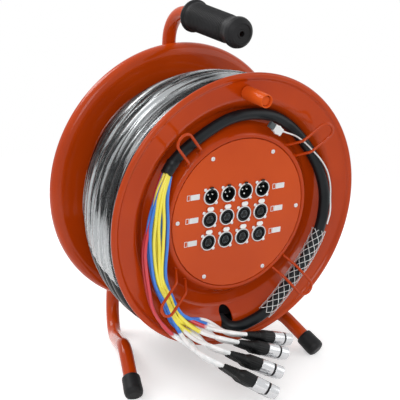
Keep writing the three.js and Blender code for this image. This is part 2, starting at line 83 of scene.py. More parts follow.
GRIP_SOCK_STEPS = (7, 20)
TAIL_STEPS = 54
SLOT_X = -4.0
SLOT_HALF_WIDTH = 10.0
SLOT_INNER = 146.0
SLOT_OUTER = 180.5
LINE_CONNECTOR_LENGTH = 84.0
HOOK_ANGLES = {"upper_left": 132, "upper_right": 43, "lower_right": -48, "lower_left": -137.5}
HOOK_BEND = 11.5
HOOK_ROD_RADIUS = 2.0
LEG_BEND = 45.0
HANDLE_BEND = 48.0
SCREW_RADIUS = 3.1
CONTACT_CIRCLE = 4.2
CONTACT_ANGLES = (30, 150, 270)
CORE_SEAT = 113.2
CORE_BELOW_TURNS = 11.2
PULL_WIRE_RADIUS = 1.2
STRAND_RADIUS = 0.45
LAYER_GAP = 5.7
PLUG_LEAD = 26.0  # the straight end of a channel cable before its connector
SLEEVE_START = 0.252  # metres along a channel cable where its clear sleeve begins

FILM_THICKNESS = 0.12
FILM_LIFT = 0.4
FILM_START, FILM_START_SLANT = 208, -14  # degrees round the reel, and how far they run from front to rear
FILM_END, FILM_END_SLANT = -38, 16
# How white the film is, by metres from the wrap's lower end: pleats that bunch, lie thin, open and lie even,
# with painted highlight and shade set place by place on top of them
FILM_WHITE_BY_PLACE = ((0.0, 0.66), (0.04, 0.58), (0.065, 0.54), (0.1, 0.42), (0.15, 0.38), (0.19, 0.46),
                (0.23, 0.47), (0.28, 0.43), (0.36, 0.49), (0.46, 0.52), (0.75, 0.48))
# Pleats of three widths, 16, 7 and 2.4 mm: cells per metre along and across, their share, and their detail
FILM_PLEATS = ((6.0, 62.0, 1.1, 1.0), (9.0, 150.0, 0.9, 2.0), (14.0, 420.0, 0.35, 1.0))

# Noise scales are cells per metre, which is 1000 over the size in millimetres
PAINT_CLOUD = 7.0  # drifts of 140 mm
ORANGE_PEEL = 420.0  # ripples of 2.4 mm
RUBBED_PATCH = 30.0  # patches of 33 mm
SLEEVE_MOTTLE = 90.0  # folds of 11 mm
DRAWN_STREAK = 900.0  # streaks of 1.1 mm, drawn coarser than the real ones so that they show
DULL_PATCH = 60.0  # patches of 17 mm

WORLD_LIGHT = 0.58  # the world's strength on the object, where the camera sees 1, which is white
FLOOR_LIFT = 0.4  # what the camera sees of the floor beyond the light that falls on it
FLOOR_RADIUS = 2.5  # metres, as the next is
FLOOR_FADE = (0.62, 0.98)


# Curves and surfaces

def unit(v):
    """Vectors divided by their lengths."""
    v = np.asarray(v, float)
    return v / np.linalg.norm(v, axis=-1, keepdims=True)


def circle(count):
    """Angles evenly spaced round a full circle."""
    return np.linspace(0, 2 * math.pi, count, endpoint=False)


def around(angle, side, other):
    """Direction at each angle: its cosine of the one direction plus its sine of the other."""
    return np.cos(angle)[..., None] * side + np.sin(angle)[..., None] * other


def length_of(path):
    """Metres along a path."""
    return float(np.linalg.norm(np.diff(path, axis=0), axis=1).sum()) / 1000


def metres(points):
    """Points in the part's own frame."""
    return (np.asarray(points, float) + REEL) / 1000


def even(points, count):
    """Points spaced evenly by length along a polyline."""
    along = np.concatenate([[0], np.cumsum(np.linalg.norm(np.diff(points, axis=0), axis=1))])
    wanted = np.linspace(0, along[-1], count)
    return np.stack([np.interp(wanted, along, points[:, i]) for i in range(points.shape[1])], axis=1)


def flowing(points, count):
    """Centripetal Catmull-Rom curve: a cubic Hermite span between each two points, with tangents from the
    square roots of the distances to the neighbours."""
    p = np.asarray(points, float)
    p = np.vstack([2 * p[0] - p[1], p, 2 * p[-1] - p[-2]])
    p0, p1, p2, p3 = p[:-3], p[1:-2], p[2:-1], p[3:]
    d0, d1, d2 = (np.sqrt(np.linalg.norm(b - a, axis=1))[:, None]
                  for a, b in ((p0, p1), (p1, p2), (p2, p3)))
    m1 = d1 * ((p1 - p0) / d0 - (p2 - p0) / (d0 + d1) + (p2 - p1) / d1)
    m2 = d1 * ((p2 - p1) / d1 - (p3 - p1) / (d1 + d2) + (p3 - p2) / d2)
    t = np.linspace(0, 1, 24, endpoint=False)[None, :, None]
    spans = (
        p1[:, None] * (2 * t**3 - 3 * t**2 + 1)
        + m1[:, None] * (t**3 - 2 * t**2 + t)
        + p2[:, None] * (3 * t**2 - 2 * t**3)
        + m2[:, None] * (t**3 - t**2)
    )
    return even(np.vstack([spans.reshape(-1, 3), p2[-1:]]), count)


def bent(corners, radius, steps=12):
    """Straight runs joined by round bends: each bend is an arc whose centre lies on the corner's bisector."""
    c = np.asarray(corners, float)
    path = [c[:1]]
    for before, corner, after in zip(c[:-2], c[1:-1], c[2:]):
        back, ahead = unit(before - corner), unit(after - corner)
        half = math.acos(np.clip(back @ ahead, -1, 1)) / 2
        centre = corner + unit(back + ahead) * radius / math.sin(half)
        start = corner + back * radius / math.tan(half) - centre
        end = corner + ahead * radius / math.tan(half) - centre
        full = math.pi - 2 * half
        t = np.linspace(0, 1, steps + 1)[:, None]
        path.append(centre + (np.sin((1 - t) * full) * start + np.sin(t * full) * end) / math.sin(full))
    return np.vstack([*path, c[-1:]])


def rounded(profile, radius, steps=4, closed=True):
    """Profile with each corner turned into a parabola that starts and ends the radius away from it."""
    p = np.asarray(profile, float)
    before, after = np.roll(p, 1, 0), np.roll(p, -1, 0)
    reach = np.minimum(np.linalg.norm(before - p, axis=1), np.linalg.norm(after - p, axis=1)) * 0.48
    reach = np.minimum(reach, radius)[:, None]
    start, end = p + unit(before - p) * reach, p + unit(after - p) * reach
    t = np.linspace(0, 1, steps + 1)[None, :, None]
    arcs = (1 - t) ** 2 * start[:, None] + 2 * t * (1 - t) * p[:, None] + t**2 * end[:, None]
    if closed:
        return arcs.reshape(-1, p.shape[1])
    return np.vstack([p[:1], arcs[1:-1].reshape(-1, p.shape[1]), p[-1:]])


def grid(points, close_u=False, close_v=True, tile=(1.0, 1.0)):
    """Quads over an array of points with two parameters, with a UV square stretched over the whole of it."""
    nu, nv = points.shape[:2]
    i, j = np.meshgrid(np.arange(nu - (not close_u)), np.arange(nv - (not close_v)), indexing="ij")
    corners = [(i, j), (i, j + 1), (i + 1, j + 1), (i + 1, j)]
    faces = np.stack([(a % nu) * nv + b % nv for a, b in corners], -1).reshape(-1, 4)
    steps_u, steps_v = nu - (not close_u), nv - (not close_v)
    uv = np.stack([np.stack([a * tile[0] / steps_u, b * tile[1] / steps_v], -1) for a, b in corners], -2)
    return points.reshape(-1, 3), faces, uv.reshape(-1, 4, 2)


def turned(profile, segments=96, centre=(0, 0, 0), axis=(0, 1, 0), closed=True):
    """Profile of radius and height turned round an axis: the centre, plus the height along the axis, plus the
    radius outwards."""
    profile = np.asarray(profile, float)
    axis = unit(axis)
    side = unit(np.cross(axis, (0.0, 0.0, 1.0) if abs(axis[2]) < 0.9 else (1.0, 0.0, 0.0)))
    other = np.cross(side, axis)
    outward = around(circle(segments), side, other)
    r, height = profile[:, 0], profile[:, 1]
    points = np.asarray(centre, float) + height[:, None, None] * axis + r[:, None, None] * outward
    length = np.abs(np.diff(profile, axis=0)).sum()
    return grid(points, close_u=closed, tile=(length / 1000, 2 * math.pi * r.max() / 1000))


def tube(path, radius, sides=16, across=(0, 1, 0), bevel=0.2):
    """Circle carried along a path, square to it, with ends that close over a small bevel."""
    path = np.asarray(path, float)
    radius = np.broadcast_to(np.asarray(radius, float), len(path)).copy()
    ahead = unit(np.gradient(path, axis=0))
    step = [radius[0] * bevel, radius[-1] * bevel]
    inner = [radius[0] * (1 - bevel), radius[-1] * (1 - bevel)]
    path = np.vstack([path[:1], path[:1], path[:1] + ahead[:1] * step[0], path[1:-1],
                      path[-1:] - ahead[-1:] * step[1], path[-1:], path[-1:]])
    radius = np.concatenate([[0, inner[0], radius[0]], radius[1:-1], [radius[-1], inner[1], 0]])
    ahead = np.vstack([ahead[:1], ahead[:1], ahead[:1], ahead[1:-1], ahead[-1:], ahead[-1:], ahead[-1:]])
    across = np.asarray(across, float)
    if across.ndim == 2:
        across = np.vstack([across[:1], across[:1], across, across[-1:], across[-1:]])
    across = np.broadcast_to(across, path.shape)
    side = unit(across - (across * ahead).sum(1, keepdims=True) * ahead)
    other = np.cross(ahead, side)
    ring = around(circle(sides), side[:, None], other[:, None])
    girth = 2 * math.pi * radius.max()
    return grid(path[:, None] + radius[:, None, None] * ring, tile=(length_of(path), girth / 1000))


def stacked(outline, rings):
    """Copies of a flat outline in x and z, each scaled about its middle and set at its own Y."""
    outline = np.asarray(outline, float)
    middle = outline.mean(0)
    return np.array([np.insert(middle + (outline - middle) * s, 1, y, axis=1) for s, y in rings])


def slab(outline, y_front, y_back, edge=0.3):
    """Flat outline given thickness along Y: rings from its middle, out over a bevelled edge and back."""
    outline = np.asarray(outline, float)
    inward = 1 - edge / np.linalg.norm(outline - outline.mean(0), axis=1).max()
    return grid(stacked(outline, ((0, y_front), (inward, y_front), (1, y_front + edge), (1, y_back - edge),
                                  (inward, y_back), (0, y_back))))


def superellipse(width, height, power=5, count=40, centre=(0, 0)):
    """Outline whose x and z are signed powers of the cosine and sine, which is a box with round corners."""
    a = circle(count)
    c, s = np.cos(a), np.sin(a)
    x = width / 2 * np.sign(c) * np.abs(c) ** (2 / power)
    z = height / 2 * np.sign(s) * np.abs(s) ** (2 / power)
    return np.stack([x, z], 1) + centre


def placed(name, data):
    """An object of that name, in the scene."""
    made = bpy.data.objects.new(name, data)
    bpy.context.scene.collection.objects.link(made)
    return made


def piece(name, surfaces, material, body="drum", stands_for=(), sharp=35):
    """One object from one or more surfaces: the points go to metres, and the mesh is cleaned."""
    offset, verts, faces, uvs = 0, [], [], []
    for points, quads, uv in surfaces:
        verts.append(points)
        faces.append(quads + offset)
        uvs.append(uv)
        offset += len(points)
    mesh = bpy.data.meshes.new(name)
    mesh.from_pydata(metres(np.vstack(verts)).tolist(), [], np.vstack(faces).tolist())
    layer = mesh.uv_layers.new(name="length")
    layer.data.foreach_set("uv", np.vstack(uvs).ravel().astype(np.float32))
    clean(mesh)
    mesh.materials.append(material)
    mesh.shade_smooth()
    mesh.set_sharp_from_angle(angle=math.radians(sharp))
    made = placed(name, mesh)
    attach(made, body)
    if stands_for:
        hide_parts(*stands_for)
    return made


def clean(mesh):
    """Seams and poles are merged, slivers are taken out, and the faces are turned outwards."""
    work = bmesh.new()
    work.from_mesh(mesh)
    bmesh.ops.remove_doubles(work, verts=work.verts, dist=2e-7)
    bmesh.ops.dissolve_degenerate(work, edges=work.edges, dist=1e-8)
    bmesh.ops.recalc_face_normals(work, faces=work.faces)
    work.to_mesh(mesh)
    work.free()


def cut(made, cutter_surfaces):
    """The piece less the cutters, by a boolean that is applied here."""
    cutter = piece(made.name + "_cutter", cutter_surfaces, made.data.materials[0])
    modifier = made.modifiers.new("cut", "BOOLEAN")
    modifier.operation = "DIFFERENCE"
    modifier.solver = "EXACT"
    modifier.object = cutter
    bpy.context.view_layer.update()
    result = bpy.data.meshes.new_from_object(made.evaluated_get(bpy.context.evaluated_depsgraph_get()))
    made.modifiers.remove(modifier)
    old = made.data
    made.data = result
    bpy.data.meshes.remove(old)
    bpy.data.objects.remove(cutter)
    made.data.set_sharp_from_angle(angle=math.radians(35))


# Materials

def linear(hex_colour):
    """sRGB hex value to the linear colour that a shader takes."""
    parts = [int(hex_colour[i : i + 2], 16) / 255 for i in (1, 3, 5)]
    return (*[c / 12.92 if c <= 0.04045 else ((c + 0.055) / 1.055) ** 2.4 for c in parts], 1.0)


def feed(tree, node, inputs):
    """Each input takes the value that it is given, or a link from the output that it is given."""
    for key, value in inputs.items():
        if isinstance(value, bpy.types.NodeSocket):
            tree.links.new(value, node.inputs[key])
        else:
            node.inputs[key].default_value = value


def add(tree, kind, inputs=None, stops=(), **settings):
    """A node with its settings, its input values, its links, and the stops of its colour ramp."""
    made = tree.nodes.new(kind)
    for key, value in settings.items():
        setattr(made, key, value)
    feed(tree, made, inputs or {})
    if stops:
        ramp = made.color_ramp.elements
        ramp[0].position, ramp[0].color = stops[0]
        ramp[1].position, ramp[1].color = stops[-1]
        for position, colour in stops[1:-1]:
            ramp.new(position).color = colour
    return made


def new_material(name, **shader):
    """A material, its tree and its shader, with numbers and colours on the shader's own sockets."""
    made = bpy.data.materials.new(name)
    made.use_nodes = True
    tree = made.node_tree
    surface = tree.nodes["Principled BSDF"]
    feed(tree, surface, {key.replace("_", " "): value for key, value in shader.items()})
    return made, tree, surface


def powder_coat(name, dark, light, gloss=1.0):
    """Gloss powder coat on steel: an orange-red skin that flows out to a faint orange peel, under a hard
    smooth top that mirrors softly and leaves the colour deep."""
    made, tree, surface = new_material(name, Roughness=0.16, IOR=1.5, Specular_IOR_Level=0.16 * gloss,
                                       Coat_Weight=0.12 * gloss, Coat_Roughness=0.05)
    place = add(tree, "ShaderNodeTexCoord").outputs["Object"]
    cloud = add(tree, "ShaderNodeTexNoise",
                {"Vector": place, "Scale": PAINT_CLOUD, "Detail": 3.0}).outputs["Fac"]
    tint = add(tree, "ShaderNodeValToRGB", {"Fac": cloud}, ((0.35, linear(dark)), (0.68, linear(light))))
    rough = add(tree, "ShaderNodeMapRange", {"Value": cloud, "To Min": 0.1, "To Max": 0.22})
    peel = add(tree, "ShaderNodeTexNoise", {"Vector": place, "Scale": ORANGE_PEEL, "Detail": 1.0})
    bump = add(tree, "ShaderNodeBump", {"Height": peel.outputs["Fac"], "Strength": 0.08, "Distance": 0.0002})
    feed(tree, surface, {"Base Color": tint.outputs["Color"], "Roughness": rough.outputs["Result"],
                         "Normal": bump.outputs["Normal"], "Coat Normal": bump.outputs["Normal"]})
    return made


def moulded(name, dark, light, roughness, grain, depth, **shader):
    """Moulded plastic or rubber: a fine spark-eroded grain, its size and depth in millimetres, and a little
    lighter where it is rubbed."""
    made, tree, surface = new_material(name, Roughness=roughness, IOR=1.5, Specular_IOR_Level=0.22, **shader)
    place = add(tree, "ShaderNodeTexCoord").outputs["Object"]
    cloud = add(tree, "ShaderNodeTexNoise",
                {"Vector": place, "Scale": RUBBED_PATCH, "Detail": 4.0}).outputs["Fac"]
    tint = add(tree, "ShaderNodeValToRGB", {"Fac": cloud}, ((0.35, linear(dark)), (0.7, linear(light))))
    rough = add(tree, "ShaderNodeMapRange", {"Value": cloud, "To Min": roughness - 0.06,
                                             "To Max": roughness + 0.08})
    speck = add(tree, "ShaderNodeTexNoise", {"Vector": place, "Scale": 1000.0 / grain, "Detail": 2.0})
    bump = add(tree, "ShaderNodeBump", {"Height": speck.outputs["Fac"], "Strength": 0.3,
                                        "Distance": depth / 1000})
    feed(tree, surface, {"Base Color": tint.outputs["Color"], "Roughness": rough.outputs["Result"],
                         "Normal": bump.outputs["Normal"]})
    return made


def plated(name, colour, roughness, mirror):
    """Plated or galvanised metal: fine streaks from drawing or turning, and dull patches between. A blasted
    or pressed plate scatters a share of the light from its grain, so it is less of a mirror."""
    made, tree, surface = new_material(name, Base_Color=linear(colour), Metallic=mirror, Roughness=roughness)
    place = add(tree, "ShaderNodeTexCoord").outputs["Object"]
    streak = add(tree, "ShaderNodeTexNoise", {"Vector": place, "Scale": DRAWN_STREAK, "Detail": 3.0})
    patch = add(tree, "ShaderNodeTexNoise", {"Vector": place, "Scale": DULL_PATCH, "Detail": 2.0})
    rough = add(tree, "ShaderNodeMapRange", {"Value": patch.outputs["Fac"], "From Min": 0.3, "From Max": 0.7,
                                             "To Min": roughness * 0.7, "To Max": roughness * 1.4})
    bump = add(tree, "ShaderNodeBump", {"Height": streak.outputs["Fac"], "Strength": 0.1, "Distance": 0.0001})
    feed(tree, surface, {"Roughness": rough.outputs["Result"], "Normal": bump.outputs["Normal"]})
    return made


def cable_insulation(colour):
    """PVC insulation of one channel cable: a clean colour with a soft shine where it leaves the breakout, and
    a silvery white under the clear sleeve on the last stretch before its connector."""
    made, tree, surface = new_material("pvc_insulation_" + colour[1:], Roughness=0.32, IOR=1.5,
                                       Coat_Weight=0.3)
    along = add(tree, "ShaderNodeUVMap", uv_map="length").outputs["UV"]
    split = add(tree, "ShaderNodeSeparateXYZ", {"Vector": along})
    place = add(tree, "ShaderNodeTexCoord").outputs["Object"]
    cloud = add(tree, "ShaderNodeTexNoise",
                {"Vector": place, "Scale": SLEEVE_MOTTLE, "Detail": 3.0}).outputs["Fac"]
    edge = add(tree, "ShaderNodeMath", {0: cloud, 1: 0.012, 2: split.outputs["X"]}, operation="MULTIPLY_ADD")
    sleeved = add(tree, "ShaderNodeMapRange", {"Value": edge.outputs["Value"],
                                               "From Min": SLEEVE_START - 0.002,
                                               "From Max": SLEEVE_START + 0.002})
    silvery = add(tree, "ShaderNodeValToRGB", {"Fac": cloud},
                  ((0.38, linear("#ECEFEF")), (0.55, linear("#FCFCFC"))))
    tint = add(tree, "ShaderNodeMix", {0: sleeved.outputs["Result"], 6: linear(colour),
                                       7: silvery.outputs["Color"]}, data_type="RGBA")
    bump = add(tree, "ShaderNodeBump", {"Height": cloud, "Strength": 0.1, "Distance": 0.0005})
    feed(tree, surface, {"Base Color": tint.outputs[2], "Normal": bump.outputs["Normal"]})
    return made


def stretch_film():
    """Clear polyethylene stretch film pulled round the wound cable: its pleats run round the reel as silvery
    streaks, and between them the black jacket shows through. How white the film is changes round the reel:
    the pleats bunch up at the lower end of the wrap, lie thin at the upper left and open out again over the
    top, and painted highlight and shade are set place by place on top of that."""
    made, tree, surface = new_material("stretch_film", Base_Color=linear("#D0D4D6"), Roughness=0.26, IOR=1.45,
                                       Coat_Weight=0.2, Metallic=0.45)
    place = add(tree, "ShaderNodeUVMap", uv_map="length").outputs["UV"]
    total = 0.0
    for along, across, share, detail in FILM_PLEATS:
        pleat = add(tree, "ShaderNodeMapping", {"Vector": place, "Scale": (along, across, 1.0)})
        streak = add(tree, "ShaderNodeTexNoise", {"Vector": pleat.outputs["Vector"], "Scale": 1.0,
                                                  "Detail": detail, "Distortion": 0.3})
        level = add(tree, "ShaderNodeMath", {0: streak.outputs["Fac"], 1: 0.5}, operation="SUBTRACT")
        total = add(tree, "ShaderNodeMath", {0: level.outputs["Value"], 1: share, 2: total},
                    operation="MULTIPLY_ADD").outputs["Value"]
    split = add(tree, "ShaderNodeSeparateXYZ", {"Vector": place})
    # The film's white by place round the wrap: its pleats' bunching, with painted highlight and shade
    white_by_place = add(tree, "ShaderNodeValToRGB", {"Fac": split.outputs["X"]},
                  [(position, (level, level, level, 1)) for position, level in FILM_WHITE_BY_PLACE])
    film_white = add(tree, "ShaderNodeMath", {0: total, 1: white_by_place.outputs["Color"]}, operation="ADD")
    veil = add(tree, "ShaderNodeMapRange", {"Value": film_white.outputs["Value"], "From Min": 0.46,
                                            "From Max": 0.6, "To Min": 0.01, "To Max": 0.62})
    bump = add(tree, "ShaderNodeBump", {"Height": total, "Strength": 0.8, "Distance": 0.0015})
    feed(tree, surface, {"Alpha": veil.outputs["Result"], "Normal": bump.outputs["Normal"],
                         "Coat Normal": bump.outputs["Normal"]})
    return made


# The steel's own deep orange-red, with a soft shine
PAINT = powder_coat("gloss_powder_coat", "#B03805", "#C04208")
# The flat panel: a lighter copy of the same paint, painted light for the brighter light that the panel
# catches
LIT_PANEL_PAINT = powder_coat("lit_panel_powder_coat", "#C4460B", "#D04F10")
# The crank knob: a paler copy of the same paint, painted light for the light that falls on the knob, and with
# less shine
KNOB_PAINT = powder_coat("lit_knob_powder_coat", "#D4531A", "#DE5E22", 0.35)
# Grip and feet: soft black, almost without shine
RUBBER = moulded("moulded_rubber", "#101011", "#1F1F21", 0.5, 0.8, 0.15)
# The cable's jacket: blue-black, with a soft line of light along it
JACKET = moulded("extruded_pvc_jacket", "#0A0E11", "#151B1F", 0.36, 1.2, 0.08)
# The same jacket on the wound turns: a darker copy, painted shade, and smoother with a thin coat where the
# film lies over it
SHADED_WOUND_JACKET = moulded("pvc_jacket_painted_shade_under_film", "#07090B", "#101416", 0.26, 1.2, 0.08, Coat_Weight=0.1,
                        Coat_Roughness=0.08)
# Connector faces and boots: dense black with a faint grain
BLACK_NYLON = moulded("glass_filled_nylon", "#08090A", "#141618", 0.42, 0.5, 0.05)
# Socket rims, a thin ring round them, and the pull wire's end: a mid grey, which on the thin ring is a
# painted glint on the black face
GREY_NYLON = moulded("grey_nylon_and_painted_glint", "#3A4144", "#565F62", 0.4, 0.5, 0.05)
# Bushes: the milky white of bare nylon
WHITE_NYLON = moulded("turned_nylon", "#CFCBC0", "#E4E0D6", 0.5, 0.6, 0.05)
# Connector rings and screws: soft silver, dulled by blasting
SATIN_NICKEL = plated("blasted_nickel_plate", "#D8D9DA", 0.3, 0.5)
# Plug shells: brighter silver with a smooth turned sheen
SHELL_NICKEL = plated("turned_nickel_plate", "#CECFD1", 0.2, 0.75)
# Release tabs and pins: nearly white, with hardly a mirror in them
PRESSED_TAB = plated("pressed_satin_tab", "#EDEDEB", 0.4, 0.15)
# Axle, collar and bearing tube: grey-white metal with a sheen
ZINC = plated("bright_zinc_plate", "#C6C9CC", 0.34, 0.8)
# Strands of the wire grip: pale dull zinc
WIRE = plated("galvanised_wire", "#DDDFDF", 0.34, 0.35)
# Label fields: flat white print
LABEL = moulded("white_printed_film", "#D6D8D9", "#ECEDED", 0.5, 0.4, 0.02)
FILM = stretch_film()


# Reel

def make_front_flange():
    """Closed sheet profile turned round the axle, with the cable slot cut through its wall."""
    front = [[100, -74.3], [108.4, -74.3], [108.4, -77], [114, -77], [120, -66], [127, -57.2], [145, -57],
             [158, -71], [164, FRONT_FACE_Y], [189, FRONT_FACE_Y], [192, -79], [198, -79],
             [FLANGE_RADIUS, -75], [196, -70.5]]
    back = [[189, FRONT_FACE_Y + SHEET], [164.8, FRONT_FACE_Y + SHEET], [158.4, -68.6], [145.6, -55],
            [126.2, -55.2], [118.3, -65], [113, -75], [110.4, -75], [110.4, -72.3], [100, -72.3]]
    made = piece("front_flange_pressing", [turned(rounded(front + back, 3.2), 256)], PAINT,
                 stands_for=["front_flange"])
    a = np.linspace(0, math.pi, 24)
    half = SLOT_HALF_WIDTH
    top = np.stack([SLOT_X + half * np.cos(a), -(SLOT_INNER + half) + half * np.sin(a)], 1)
    outline = np.vstack([[[SLOT_X + half, -SLOT_OUTER]], top, [[SLOT_X - half, -SLOT_OUTER]]])
    cut(made, [grid(stacked(outline, ((0, -100), (1, -100), (1, -40), (0, -40))))])


def make_rear_flange():
    """Closed sheet profile turned round the axle, with its rim turned rearwards."""
    profile = [[17.6, REAR_FACE_Y], [188, REAR_FACE_Y], [196.5, REAR_FACE_Y + 3.2],
               [FLANGE_RADIUS, REAR_FACE_Y + 9.5], [FLANGE_RADIUS, REAR_EDGE_Y],
               [FLANGE_RADIUS - SHEET, REAR_EDGE_Y], [FLANGE_RADIUS - SHEET, REAR_FACE_Y + 10],
               [195.2, REAR_FACE_Y + 4.9], [187.6, REAR_FACE_Y + SHEET], [17.6, REAR_FACE_Y + SHEET]]
    piece("rear_flange_pressing", [turned(rounded(profile, 3.5), 256)], PAINT, stands_for=["rear_flange"])


def make_hooks():
    """Rod bent to a long U, a circle carried along straight legs and round bends, with a weld bead turned
    round the foot of each leg on the wall of the hub."""
    bead = [[0, 0], [3.6, 0], [3.3, 1.6], [2.2, 2.8], [0, 3]]
    ahead = np.array([0, 1.0, 0])
    for place, degrees in HOOK_ANGLES.items():
        a = math.radians(degrees)
        out = np.array([math.cos(a), 0, math.sin(a)])
        along = np.array([-math.sin(a), 0, math.cos(a)])
        corners = [out * r + ahead * y + along * t for r, y, t in
                   ((115.5, -70, 12), (132, -93, 12), (175, -103, 12), (175, -103, -12), (132, -93, -12),
                    (115.5, -70, -12))]
        path = even(bent(corners, HOOK_BEND), 120)
        leg = unit(corners[1] - corners[0])
        welds = [turned(bead, 20, foot, leg, closed=False) for foot in (corners[0], corners[-1])]
        across = unit(out * 1.2 - ahead + along * 0.9)
        piece(place + "_rod_hook", [tube(path, HOOK_ROD_RADIUS, 16, across), *welds], PAINT,
              stands_for=[place + "_hook"])


def make_crank_knob():
    """Closed profile turned round the bolt: a slightly tapered handle with a sunk front."""
    seat = KNOB_FRONT_Y + 8.3
    foot = FRONT_FACE_Y - 0.8
    profile = [[4.8, seat], [7.2, seat], [7.4, KNOB_FRONT_Y], [KNOB_RADIUS - 0.8, KNOB_FRONT_Y],
               [KNOB_RADIUS - 0.3, KNOB_FRONT_Y + 16], [KNOB_RADIUS, foot], [4.8, foot]]
    piece("crank_knob_turned", [turned(rounded(profile, 1.2), 64, (0, 0, KNOB_CIRCLE))], KNOB_PAINT,
          body="crank", stands_for=["crank_knob"])


# Panel

def make_screws():
    """Pan head screws: the height is a low dome, the root of one less the radius squared, less a cross recess
    pressed in as four lobes, a power of the cosine of twice the angle."""
    angle = circle(48)
    r = np.linspace(0, SCREW_RADIUS, 16)
    dome = 1.7 * np.sqrt(np.clip(1 - (r / 3.3) ** 2, 0, 1))[:, None]
    cross = 1.1 * np.exp(-((r / 1.6) ** 4))[:, None] * (0.35 + 0.65 * np.abs(np.cos(2 * angle)) ** 6)[None]
    seat = PANEL_FRONT_Y - 0.05
    for number in range(6):
        a = math.radians(60 * number - 0.7)
        x, z = PANEL_SCREW_CIRCLE * math.cos(a), PANEL_SCREW_CIRCLE * math.sin(a) - 1.7
        top = np.stack([x + r[:, None] * np.cos(angle), PANEL_FRONT_Y - 0.15 - (dome - cross),
                        z + r[:, None] * np.sin(angle)], -1)
        foot = np.stack([x + SCREW_RADIUS * np.cos(angle), np.full(48, seat),
                         z + SCREW_RADIUS * np.sin(angle)], -1)
        base = np.broadcast_to(np.array([x, seat, z]), foot.shape)
        piece("panel_screw_%d" % (number + 1), [grid(np.concatenate([top, foot[None], base[None]]))],
              SATIN_NICKEL)


def make_label_plates():
    """Printed fields beside the connector rows: a bare white field, a slab on a squarish superellipse, and a
    small empty frame before it, whose section goes round four superellipses."""
    seat, low, high = PANEL_FRONT_Y - 0.05, PANEL_FRONT_Y - 0.3, PANEL_FRONT_Y - 0.5
    for row in range(3):
        for side, x, rise in (("left", CONNECTOR_GRID_X - 67.5, 2.0),
                              ("right", CONNECTOR_GRID_X + 73.5, 0.2)):
            z = CONNECTOR_GRID_Z + (1 - row) * CONNECTOR_PITCH_Z + rise
            tag = "_%s_%d" % (side, row + 1)
            field = superellipse(14.5, 8.0, 14, 48, (x, z))
            piece("label_field" + tag, [slab(field, high, seat, 0.2)], LABEL)
            rings = [np.insert(superellipse(width, height, 14, 32, (x - 10.4, z)), 1, y, axis=1)
                     for width, height, y in ((5.2, 8.0, low), (3.8, 6.6, low), (3.8, 6.6, seat),
                                              (5.2, 8.0, seat))]
            piece("label_frame" + tag, [grid(np.array(rings), close_u=True)], LABEL)


def connector_places():
    """Number, x, z and whether it is female, of each connector, row by row from the top."""
    return [(4 * row + column + 1, CONNECTOR_GRID_X + (column - 1.5) * CONNECTOR_PITCH_X,
             CONNECTOR_GRID_Z + (1 - row) * CONNECTOR_PITCH_Z, row > 0)
            for row in range(3) for column in range(4)]


def make_panel_connector(number, x, z, female):
    """Diecast shell turned to a narrow bright ring, with two small screw ears, a turned black face, and three
    contacts on a circle, which are sockets in a female one and pins in a male one."""
    tag = "%02d" % number
    axis = (x, 0, z)
    contact_axes = [(x + CONTACT_CIRCLE * math.cos(a), 0, z + CONTACT_CIRCLE * math.sin(a))
                    for a in map(math.radians, CONTACT_ANGLES)]
    back, front = PANEL_FRONT_Y - 0.3, PANEL_FRONT_Y - 1.9
    floor = front + (1.6 if female else 12.0)
    shell = [[9.3, floor + 0.5], [9.3, front + 0.6], [10.4, front + 0.1], [10.8, front - 0.5],
             [11.6, front - 0.4], [12.1, front + 0.6], [12.2, back], [11.0, back], [11.0, front + 27],
             [9.3, front + 27]]
    parts = [turned(rounded(shell, 0.5, 3), 64, axis)]
    screw = [[0, -0.5], [0.8, -0.5], [1.3, -0.2], [1.5, 0], [0, 0]]
    for side in (-1, 1):
        centre = np.array([x + side * 9.4, z - side * 10.2])
        parts.append(slab(superellipse(4.6, 4.6, 2.4, 32, centre), front + 0.9, back, 0.3))
        head = (centre[0] + side * 0.3, front + 0.9, centre[1] - side * 0.3)
        parts.append(turned(screw, 24, head, closed=False))
    piece("connector_shell_" + tag, parts, SATIN_NICKEL, stands_for=["panel_connector_" + tag])
    if female:
        face = [[0, front + 0.3], [6.2, front + 0.3], [6.3, front + 3.4], [7.9, front + 3.4],
                [8.0, front - 0.1], [10.3, front - 0.1], [10.3, front + 0.4], [9.1, front + 5],
                [0, front + 5]]
        socket = [[0.7, front + 0.5], [0.7, front + 0.1], [1.5, front + 0.1], [1.5, front + 0.5]]
        # A thin grey ring round the sockets: a painted glint on the black face
        ring = [[5.0, front + 0.45], [5.0, front + 0.1], [5.6, front + 0.1], [5.6, front + 0.45]]
        contacts = [*(turned(socket, 24, pin) for pin in contact_axes), turned(ring, 48, axis)]
    else:
        face = [[0, floor - 0.4], [8.6, floor - 0.4], [8.9, front + 0.2], [10.3, front - 0.1],
                [10.3, front + 0.4], [9.1, floor + 3], [0, floor + 3]]
        tip = [[0, front + 2.6], [0.7, front + 2.8], [1.1, front + 3.4], [1.1, front + 4.4], [0, front + 4.4]]
        contacts = [turned(tip, 24, pin, closed=False) for pin in contact_axes]
    parts = [turned(rounded(face, 0.2, 2, closed=False), 64, axis, closed=False)]
    if not female:
        shank = [[0, front + 4.3], [1.1, front + 4.3], [1.1, floor], [0, floor]]
        parts.extend(turned(shank, 20, pin, closed=False) for pin in contact_axes)
        parts.append(slab(superellipse(4.6, 3.6, 6, 32, (x, z + 9.6)), front - 0.7, front + 1.0, 0.3))
        parts.append(slab(superellipse(6.0, 2.6, 6, 32, (x, z + 12.6)), front - 0.3, front + 0.6, 0.3))
    piece("connector_insert_" + tag, parts, BLACK_NYLON)
    piece("connector_contacts_" + tag, contacts, GREY_NYLON if female else PRESSED_TAB)


